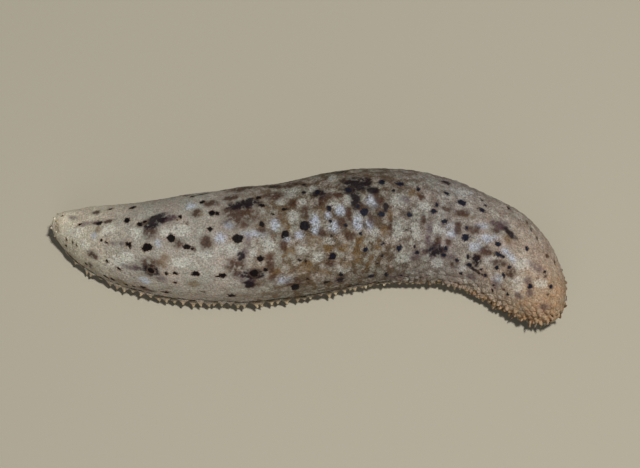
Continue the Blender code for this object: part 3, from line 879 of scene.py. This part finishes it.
def tube_feet():
    """Feet with suckers in rows along the sole, all standing on the ground."""
    draw = np.random.default_rng(44)
    along = []
    around = []
    for middle in FEET_ROWS:
        places = np.arange(FEET_FROM, FEET_TO, FEET_SPACING) + draw.uniform(0.0, FEET_SPACING)
        along.append(places + draw.uniform(-0.6, 0.6, len(places)))
        around.append(middle + draw.uniform(-3.0, 3.0, len(places)))
    along = np.concatenate(along)
    around = np.concatenate(around)
    clear = clear_of_mouth(along, around, 1.5)
    along, around = along[clear], around[clear]
    count = len(along)
    width = draw.uniform(0.7, 1.05, count)
    return Growths(along, around, np.ones(count), width, width, np.zeros((count, 3)))


def anal_papillae():
    """A ring of five papillae round the anus, and a ring of smaller ones behind them."""
    large = 5
    small = 14
    draw = np.random.default_rng(45)
    along = np.concatenate((np.full(large, 0.9), draw.uniform(1.6, 3.2, small)))
    small_turns = np.arange(small) * 360.0 / small + draw.uniform(-8, 8, small)
    around = np.concatenate((np.arange(large) * 72.0 + 18.0, small_turns))
    length = np.concatenate((np.full(large, 0.6), draw.uniform(0.25, 0.4, small)))
    width = np.concatenate((np.full(large, 0.9), draw.uniform(0.6, 0.9, small)))
    return Growths(along, around, length, width, width, bends(draw, large + small, 0.08, 0.0))


# Mouth


class TentacleRing(NamedTuple):
    """One ring of tentacles, as in the solids: its radius on the disc, their lean, and their sizes."""
    radius: float
    lean: float
    stalk_length: float
    stalk_radius: float
    shield_radius: float


OUTER_RING = TentacleRing(3.55, 0.42, 1.1, 0.42, 0.8)
INNER_RING = TentacleRing(2.15, 0.16, 0.9, 0.32, 0.58)
TENTACLES_PER_RING = 10
STALK = round_outline((-0.6, 1.0), (0.0, 1.0), (0.5, 0.8), (0.8, 0.9), (1.0, 1.5), (1.12, 1.1))
LOBE = round_outline((-0.5, 0.5), (0.0, 0.8), (0.35, 1.0), (0.65, 0.85), (0.88, 0.5), (1.0, 0.15))

# Outline of the mouth disc in millimetres
MOUTH_DISC = round_outline((-1.6, 8.8), (-0.3, 8.8), (-0.05, 8.4), (0.1, 6.5), (0.05, 4.0), (0.12, 3.0),
                           (-0.1, 2.0), (-0.6, 1.2), (-0.95, 0.3))

# A tentacle's shield: one lobe in the middle and a ring of tilted ones round it. Lengths are in
# millimetres; the widths and the ring's radius are shares of the shield's radius.
LOBES = 9
LOBE_RING = 0.62
LOBE_TILT = 0.7
LOBE_SIZE = (0.42, 0.5)
MIDDLE_LOBE_SIZE = (0.45, 0.8)


def tentacles():
    """Mouth disc and two rings of tentacles whose shields are round clusters of lobes."""
    out = outward(np.array([MOUTH_AT]), np.array([270.0]))
    lengthwise = forward(np.array([MOUTH_AT]), np.array([270.0]))
    crosswise = np.cross(out, lengthwise)
    shape = Shape()
    place = unwrap(np.array([MOUTH_AT]), np.array([269.0]))

    def grow(roots, ways, spokes, sizes, outline, sides, tip):
        """Adds growths with these roots and ways out, and how much of the tips' colour they take."""
        rings, heights = rings_of(roots, ways, spokes, sizes, np.zeros_like(roots), outline, sides)
        shape.add_stacks(rings, np.repeat(place, len(roots), axis=0), {"tip": heights * tip})

    def grow_lobes(feet, ways, spokes, length, width, ring):
        size = np.ones(len(feet))
        width = size * ring.shield_radius * width
        grow(feet, ways, spokes, (size * length, width, width), LOBE, 8, 1.0)

    one = np.ones(1)
    grow(MOUTH[None], out, lengthwise, (one, one, one), MOUTH_DISC, 48, 0.0)
    for half_steps, ring in enumerate((OUTER_RING, INNER_RING)):
        turns = 2 * math.pi * (np.arange(TENTACLES_PER_RING) + half_steps / 2)[:, None] / TENTACLES_PER_RING
        spokes = lengthwise * np.cos(turns) + crosswise * np.sin(turns)
        roots = MOUTH + spokes * ring.radius
        ways = unit(out + spokes * ring.lean)
        spokes = unit(spokes - ways * np.sum(spokes * ways, axis=1, keepdims=True))
        size = np.ones(len(roots))
        stalk_width = size * 2 * ring.stalk_radius
        grow(roots, ways, spokes, (size * ring.stalk_length, stalk_width, stalk_width), STALK, 12, 0.4)
        tops = roots + ways * ring.stalk_length
        beside = np.cross(ways, spokes)
        grow_lobes(tops, ways, spokes, *MIDDLE_LOBE_SIZE, ring)
        for number in range(LOBES):
            turn = 2 * math.pi * number / LOBES
            petals = spokes * math.cos(turn) + beside * math.sin(turn)
            feet = tops + petals * ring.shield_radius * LOBE_RING
            tilted = unit(ways + petals * LOBE_TILT)
            grow_lobes(feet, tilted, unit(np.cross(tilted, ways)), *LOBE_SIZE, ring)
    return shape.object("tentacles", tentacle_paint())


# Paint


def srgb(red, green, blue):
    """Colour from the 0 to 255 numbers of a screen."""
    shares = (np.array((red, green, blue)) / 255.0).tolist()
    linear = [share / 12.92 if share <= 0.04045 else ((share + 0.055) / 1.055) ** 2.4 for share in shares]
    return (*linear, 1.0)


def tones(*stops):
    """Colours by share of the body's length, tail first, from the numbers of a screen."""
    return tuple((share, srgb(*colour)) for share, *colour in stops)


# Tones of the skin: the ground, the net between its pale cells, the pale patches, and the rest
GROUND_TONES = tones(
    (0.00, 222, 212, 190),
    (0.06, 198, 191, 172),
    (0.16, 149, 145, 136),
    (0.34, 147, 144, 136),
    (0.46, 132, 127, 117),
    (0.60, 129, 124, 115),
    (0.74, 142, 140, 135),
    (0.88, 158, 148, 136),
    (1.00, 178, 158, 134),
)
NET_TONES = tones(
    (0.00, 150, 122, 92),
    (0.30, 116, 94, 76),
    (0.44, 72, 55, 34),
    (0.60, 66, 50, 32),
    (0.76, 88, 72, 64),
    (1.00, 130, 100, 72),
)
PALE_TONES = tones(
    (0.00, 202, 200, 186),
    (0.34, 158, 158, 152),
    (0.48, 152, 152, 146),
    (0.68, 150, 150, 144),
    (0.80, 160, 160, 158),
    (1.00, 186, 178, 164),
)
BLUE_TONE = srgb(158, 165, 178)
GREENISH_TONE = srgb(148, 152, 142)
PINKISH_TONE = srgb(158, 143, 134)
OCHRE_TONE = srgb(92, 70, 40)
BROWN_TONE = srgb(58, 38, 28)
PURPLE_TONE = srgb(70, 54, 62)
DARK_TONE = srgb(24, 17, 22)
BLACK_TONE = srgb(16, 10, 11)
BLUE_BLACK_TONE = srgb(22, 24, 36)
SOLE_TONE = srgb(196, 186, 164)
# Dark olive of the painted shade under the lower edges
UNDER_EDGE_SHADE_TONE = srgb(62, 52, 30)
EMBER_TONE = srgb(148, 112, 76)
TIP_TONE = srgb(162, 145, 118)

# Strength of the net and of the fine speckle by share of the body's length
NET_SHARE = ((0.0, 0.1), (0.3, 0.25), (0.42, 0.85), (0.62, 0.9), (0.74, 0.6), (1.0, 0.4))
SPECKLE_SHARE = ((0.0, 0.7), (0.35, 0.75), (0.5, 1.0), (0.8, 0.9), (1.0, 0.8))


class Paint:
    """A material worked out in small steps. Each step gives the socket on which it ends."""

    def __init__(self, name):
        self.material = bpy.data.materials.new(name)
        self.material.use_nodes = True
        self.tree = self.material.node_tree
        self.tree.nodes.clear()

    def node(self, kind, inputs, output=0, **settings):
        made = self.tree.nodes.new(kind)
        for name, value in settings.items():
            setattr(made, name, value)
        for key, value in inputs.items():
            if isinstance(value, bpy.types.NodeSocket):
                self.tree.links.new(value, made.inputs[key])
            else:
                made.inputs[key].default_value = value
        return made.outputs[output]

    def field(self, name):
        return self.node("ShaderNodeAttribute", {}, "Fac", attribute_name=name)

    def math(self, operation, *values):
        return self.node("ShaderNodeMath", dict(enumerate(values)), operation=operation)

    def total(self, first, *others):
        for other in others:
            first = self.math("ADD", first, other)
        return first

    def wobble(self, noise, strength):
        """The noise shifted to swing round 0, made stronger or weaker."""
        return self.math("MULTIPLY_ADD", noise, strength, -0.5 * strength)

    def step(self, value, low, high, start=0.0, end=1.0):
        """Smooth step from one number to another as the value goes from low to high."""
        inputs = {"Value": value, "From Min": low, "From Max": high, "To Min": start, "To Max": end}
        return self.node("ShaderNodeMapRange", inputs, interpolation_type="SMOOTHSTEP")

    def noise(self, place, size, detail=2.0):
        """Noise from about 0.25 to 0.75 whose lumps are about `size` across."""
        inputs = {"Vector": place, "Scale": 1.0 / size, "Detail": detail}
        return self.node("ShaderNodeTexNoise", inputs)

    def shifted(self, place, size, reach):
        """The place moved about by noise, so that what is drawn there has wavy outlines."""
        inputs = {"Vector": place, "Scale": 1.0 / size, "Detail": 2.0}
        drift = self.node("ShaderNodeTexNoise", inputs, "Color")
        drift = self.node("ShaderNodeVectorMath", {0: drift, 1: (0.5, 0.5, 0.5)}, operation="SUBTRACT")
        inputs = {0: drift, 1: (reach, reach, reach), 2: place}
        return self.node("ShaderNodeVectorMath", inputs, operation="MULTIPLY_ADD")

    def cells(self, place, size):
        """Distance to the middle of the nearest of scattered cells of about this size: 0 to about 1."""
        return self.node("ShaderNodeTexVoronoi", {"Vector": place, "Scale": 1.0 / size}, "Distance")

    def curve(self, value, stops):
        """Number that runs through others as the value goes from 0 to 1."""
        return self.ramp(value, tuple((position, (level, level, level, 1.0)) for position, level in stops))

    def mix(self, share, base, top):
        return self.node("ShaderNodeMix", {0: share, 6: base, 7: top}, 2, data_type="RGBA")

    def bright(self, colour, factor):
        """The colour made brighter or darker by a factor."""
        return self.node("ShaderNodeVectorMath", {0: colour, "Scale": factor}, operation="SCALE")

    def ramp(self, value, tones):
        """Colour that runs through tones as the value goes from 0 to 1."""
        made = self.tree.nodes.new("ShaderNodeValToRGB")
        self.tree.links.new(value, made.inputs[0])
        stops = made.color_ramp.elements
        while len(stops) < len(tones):
            stops.new(0.5)
        for stop, (position, tone) in zip(stops, tones):
            stop.position = position
            stop.color = tone
        return made.outputs[0]

    def finish(self, colour, roughness, bumps, **constants):
        """Ends the material in one shader, with bumps as pairs of height and depth in metres."""
        normal = None
        for height, depth in bumps:
            inputs = {"Height": height, "Distance": depth, "Strength": 1.0}
            if normal:
                inputs["Normal"] = normal
            normal = self.node("ShaderNodeBump", inputs)
        inputs = {"Base Color": colour, "Roughness": roughness, "Normal": normal}
        inputs.update({name.replace("_", " "): value for name, value in constants.items()})
        shader = self.node("ShaderNodeBsdfPrincipled", inputs)
        self.tree.links.new(shader, self.tree.nodes.new("ShaderNodeOutputMaterial").inputs["Surface"])
        return self.material


def skin_paint():
    """Paint of the skin and of all that grows on it: pale cells in a brown net, clouds and black spots."""
    paint = Paint("spotted_skin")
    along = paint.field("along")
    share = paint.math("DIVIDE", along, LENGTH)
    side = paint.field("side")
    place = paint.node("ShaderNodeCombineXYZ", {"X": along, "Y": side, "Z": paint.field("level")})
    broad = paint.noise(place, 7.0, 2.0)
    mottle = paint.noise(place, 2.1, 4.0)
    clumps = paint.noise(place, 0.85, 3.0)
    grain = paint.noise(place, 0.45, 2.0)
    stretched = paint.node("ShaderNodeVectorMath", {0: place, 1: (0.14, 1.0, 1.0)}, operation="MULTIPLY")
    streaks = paint.noise(stretched, 0.7, 2.0)

    colour = paint.ramp(share, GROUND_TONES)
    colour = paint.mix(paint.step(broad, 0.5, 0.64, 0.0, 0.3), colour, GREENISH_TONE)
    colour = paint.mix(paint.step(broad, 0.5, 0.36, 0.0, 0.3), colour, PINKISH_TONE)

    cells = paint.cells(paint.shifted(place, 1.9, 1.8), 2.7)
    net = paint.total(cells, paint.wobble(clumps, 0.8), paint.wobble(mottle, 1.0))
    net_share = paint.curve(share, NET_SHARE)
    net = paint.math("MULTIPLY", paint.step(net, 0.3, 0.75), net_share)
    threads = paint.cells(paint.shifted(place, 0.9, 0.7), 1.25)
    threads = paint.math("MULTIPLY", paint.step(threads, 0.25, 0.75, 0.0, 0.6), net_share)
    net = paint.math("MAXIMUM", net, threads)
    net_tone = paint.ramp(share, NET_TONES)
    colour = paint.mix(net, colour, net_tone)
    # Painted shade: the furrows between the cobbles are painted darker, in the brown of the net
    cobble_furrow_shade = paint.step(paint.field("dome"), 0.42, 0.0, 0.0, 0.3)
    colour = paint.mix(cobble_furrow_shade, colour, net_tone)
    streaked = paint.math("MULTIPLY", paint.field("flank"), paint.step(streaks, 0.4, 0.6, 0.0, 0.5))
    colour = paint.mix(streaked, colour, net_tone)
    ember = paint.math("MULTIPLY", paint.field("ember"), paint.step(mottle, 0.32, 0.68, 0.35, 0.95))
    colour = paint.mix(ember, colour, EMBER_TONE)

    def broken(*swings):
        """Factor that swings round 1, to break up the edges of clouds."""
        patterns = (mottle, clumps, grain)
        return paint.total(*(paint.wobble(pattern, swing) for pattern, swing in zip(patterns, swings)), 1.0)

    wavering = broken(3.0, 2.2, 1.2)
    blotchy = broken(2.0, 1.6, 1.0)
    pale_tones = paint.ramp(share, PALE_TONES)
    for kind, edge, low, high, strength, tone in (
        ("pale", blotchy, 0.25, 0.8, 0.7, pale_tones),
        ("blue", blotchy, 0.2, 1.2, 0.8, BLUE_TONE),
        ("ochre", wavering, 0.15, 1.0, 0.65, OCHRE_TONE),
        ("brown", wavering, 0.12, 1.0, 0.9, BROWN_TONE),
        ("purple", wavering, 0.15, 1.0, 0.65, PURPLE_TONE),
        ("dark", blotchy, 0.2, 0.8, 0.95, DARK_TONE),
    ):
        cloud = paint.math("MULTIPLY", paint.field(kind), edge)
        colour = paint.mix(paint.step(cloud, low, high, 0.0, strength), colour, tone)

    spot = paint.total(paint.field("spot"), paint.wobble(clumps, 1.1), paint.wobble(grain, 0.4))
    colour = paint.mix(paint.step(spot, 0.7, 0.0, 0.0, 0.35), colour, net_tone)
    fore = paint.step(along, 66.0, 100.0)
    black = paint.mix(fore, BLACK_TONE, BLUE_BLACK_TONE)
    colour = paint.mix(paint.step(spot, 0.2, -0.25, 0.0, 1.0), colour, black)

    # Painted shade under the lower edges, kept off the tips of growths
    under_edge_shade = paint.math("SUBTRACT", paint.field("under_edge_shade"), paint.math("MULTIPLY", paint.field("tip"), 2.5))
    colour = paint.mix(paint.step(under_edge_shade, 0.0, 1.0, 0.0, 0.85), colour, UNDER_EDGE_SHADE_TONE)
    colour = paint.mix(paint.step(paint.field("tip"), 0.04, 0.5), colour, TIP_TONE)
    colour = paint.mix(paint.math("MULTIPLY", paint.field("under"), 0.6), colour, SOLE_TONE)

    # Brightness factor: random swings from the clumps and the mottle, times painted light and shade across
    # the body: the right flank (side below 0), which faces the camera, is painted up to 1.3 times brighter,
    # and the left flank slightly darker
    light = paint.step(clumps, 0.36, 0.64, 0.9, 1.1)
    for value, *change in (
        (mottle, 0.36, 0.64, 0.94, 1.06),
        (side, -4.0, -15.0, 1.0, 1.3),
        (side, 4.0, 15.0, 1.0, 0.95),
    ):
        light = paint.math("MULTIPLY", light, paint.step(value, *change))
    speckle_strength = paint.curve(share, SPECKLE_SHARE)
    speckle = paint.math("MULTIPLY_ADD", paint.wobble(grain, 2.3), speckle_strength, 1.0)
    colour = paint.bright(colour, paint.math("MULTIPLY", light, speckle))

    roughened = paint.math("MULTIPLY_ADD", clumps, 1.2, grain)
    return paint.finish(colour, 0.55, ((roughened, 0.0002),), Subsurface_Weight=0.12, Subsurface_Scale=0.002,
                        Specular_IOR_Level=0.08)


def tentacle_paint():
    """Paint of the mouth disc and the tentacles: yellowish brown with paler lobes."""
    paint = Paint("tentacle_skin")
    place = paint.node("ShaderNodeTexCoord", {}, "Object")
    mottle = paint.noise(place, 0.0008)
    colour = paint.mix(paint.step(mottle, 0.35, 0.65), srgb(112, 88, 60), srgb(150, 122, 88))
    colour = paint.mix(paint.step(paint.field("tip"), 0.2, 0.9, 0.0, 0.8), colour, srgb(204, 186, 146))
    return paint.finish(colour, 0.42, ((mottle, 0.0001),), Subsurface_Weight=0.15, Subsurface_Scale=0.002)


def floor_paint():
    """Plain matt paint of the floor, in a tone like pale sand."""
    paint = Paint("plain_floor")
    place = paint.node("ShaderNodeTexCoord", {}, "Object")
    return paint.finish(srgb(168, 162, 146), 0.9, ((paint.noise(place, 0.004), 0.00001),))


# Pieces


SKIN_PAINT = skin_paint()

skin = skin_object()
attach(skin, "root")
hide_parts(*BODY_NODES)

COAT = (
    (growth_object("papillae", papillae(), FINGER, 8, 0.14), "head_skin"),
    (growth_object("fringe", fringe(), WEBBED_FOOT, 12, 0.75, droop=1.6), "trunk_skin"),
    (growth_object("tube_feet", tube_feet(), SUCKER_FOOT, 9, 1.0, standing=True), "trunk_skin"),
    (growth_object("anal_papillae", anal_papillae(), FINGER, 9, 0.6), "trunk_skin"),
)
for piece, slot in COAT:
    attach(piece, "root")

crown = tentacles()
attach(crown, "root")
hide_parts("tentacle_crown")


# Floor, camera and lights


def add_floor():
    """Flat square of floor at Z = 0, which is not attached to the animal."""
    size = 3.0
    corners = [(x, y, 0.0) for x, y in ((-size, -size), (size, -size), (size, size), (-size, size))]
    mesh = bpy.data.meshes.new("floor")
    mesh.from_pydata(corners, [], [(0, 1, 2, 3)])
    mesh.materials.append(floor_paint())
    floor = bpy.data.objects.new("floor", mesh)
    bpy.context.scene.collection.objects.link(floor)


def add_camera():
    """Camera that sees what the photograph shows, at the photograph's scale."""
    data = bpy.data.cameras.new("camera")
    data.sensor_width = SENSOR_WIDTH
    data.lens = SENSOR_WIDTH * CAMERA_DISTANCE / (PHOTO_WIDTH * MM_PER_PIXEL)
    data.clip_start = 0.01
    data.clip_end = 10.0
    camera = bpy.data.objects.new("camera", data)
    turn = Matrix((VIEW_RIGHT, VIEW_UP, -VIEW)).transposed()
    camera.matrix_world = Matrix.Translation(Vector(CAMERA_AT * MM)) @ turn.to_4x4()
    bpy.context.scene.collection.objects.link(camera)
    bpy.context.scene.camera = camera


def add_light(name, place, size, power, tone=(1.0, 1.0, 1.0)):
    """Square soft light at a place in metres, which shines at the animal."""
    data = bpy.data.lights.new(name, "AREA")
    data.size = size
    data.energy = power
    data.color = tone
    light = bpy.data.objects.new(name, data)
    light.location = place
    light.rotation_mode = "QUATERNION"
    light.rotation_quaternion = (Vector(CAMERA_AIM * MM) - Vector(place)).to_track_quat("-Z", "Y")
    bpy.context.scene.collection.objects.link(light)


def add_sky(brightness):
    """Even, slightly blue light from all around."""
    world = bpy.data.worlds.new("sky")
    world.use_nodes = True
    background = world.node_tree.nodes["Background"]
    background.inputs["Color"].default_value = (0.93, 0.96, 1.0, 1.0)
    background.inputs["Strength"].default_value = brightness
    bpy.context.scene.world = world


add_floor()
add_camera()
add_light("key", (0.25, -0.15, 1.16), 0.11, 13.7, (1.0, 0.98, 0.94))
add_light("fill", (-0.15, -1.0, 0.55), 0.8, 2.0)
add_sky(0.09)
bpy.context.scene.view_settings.view_transform = "Standard"
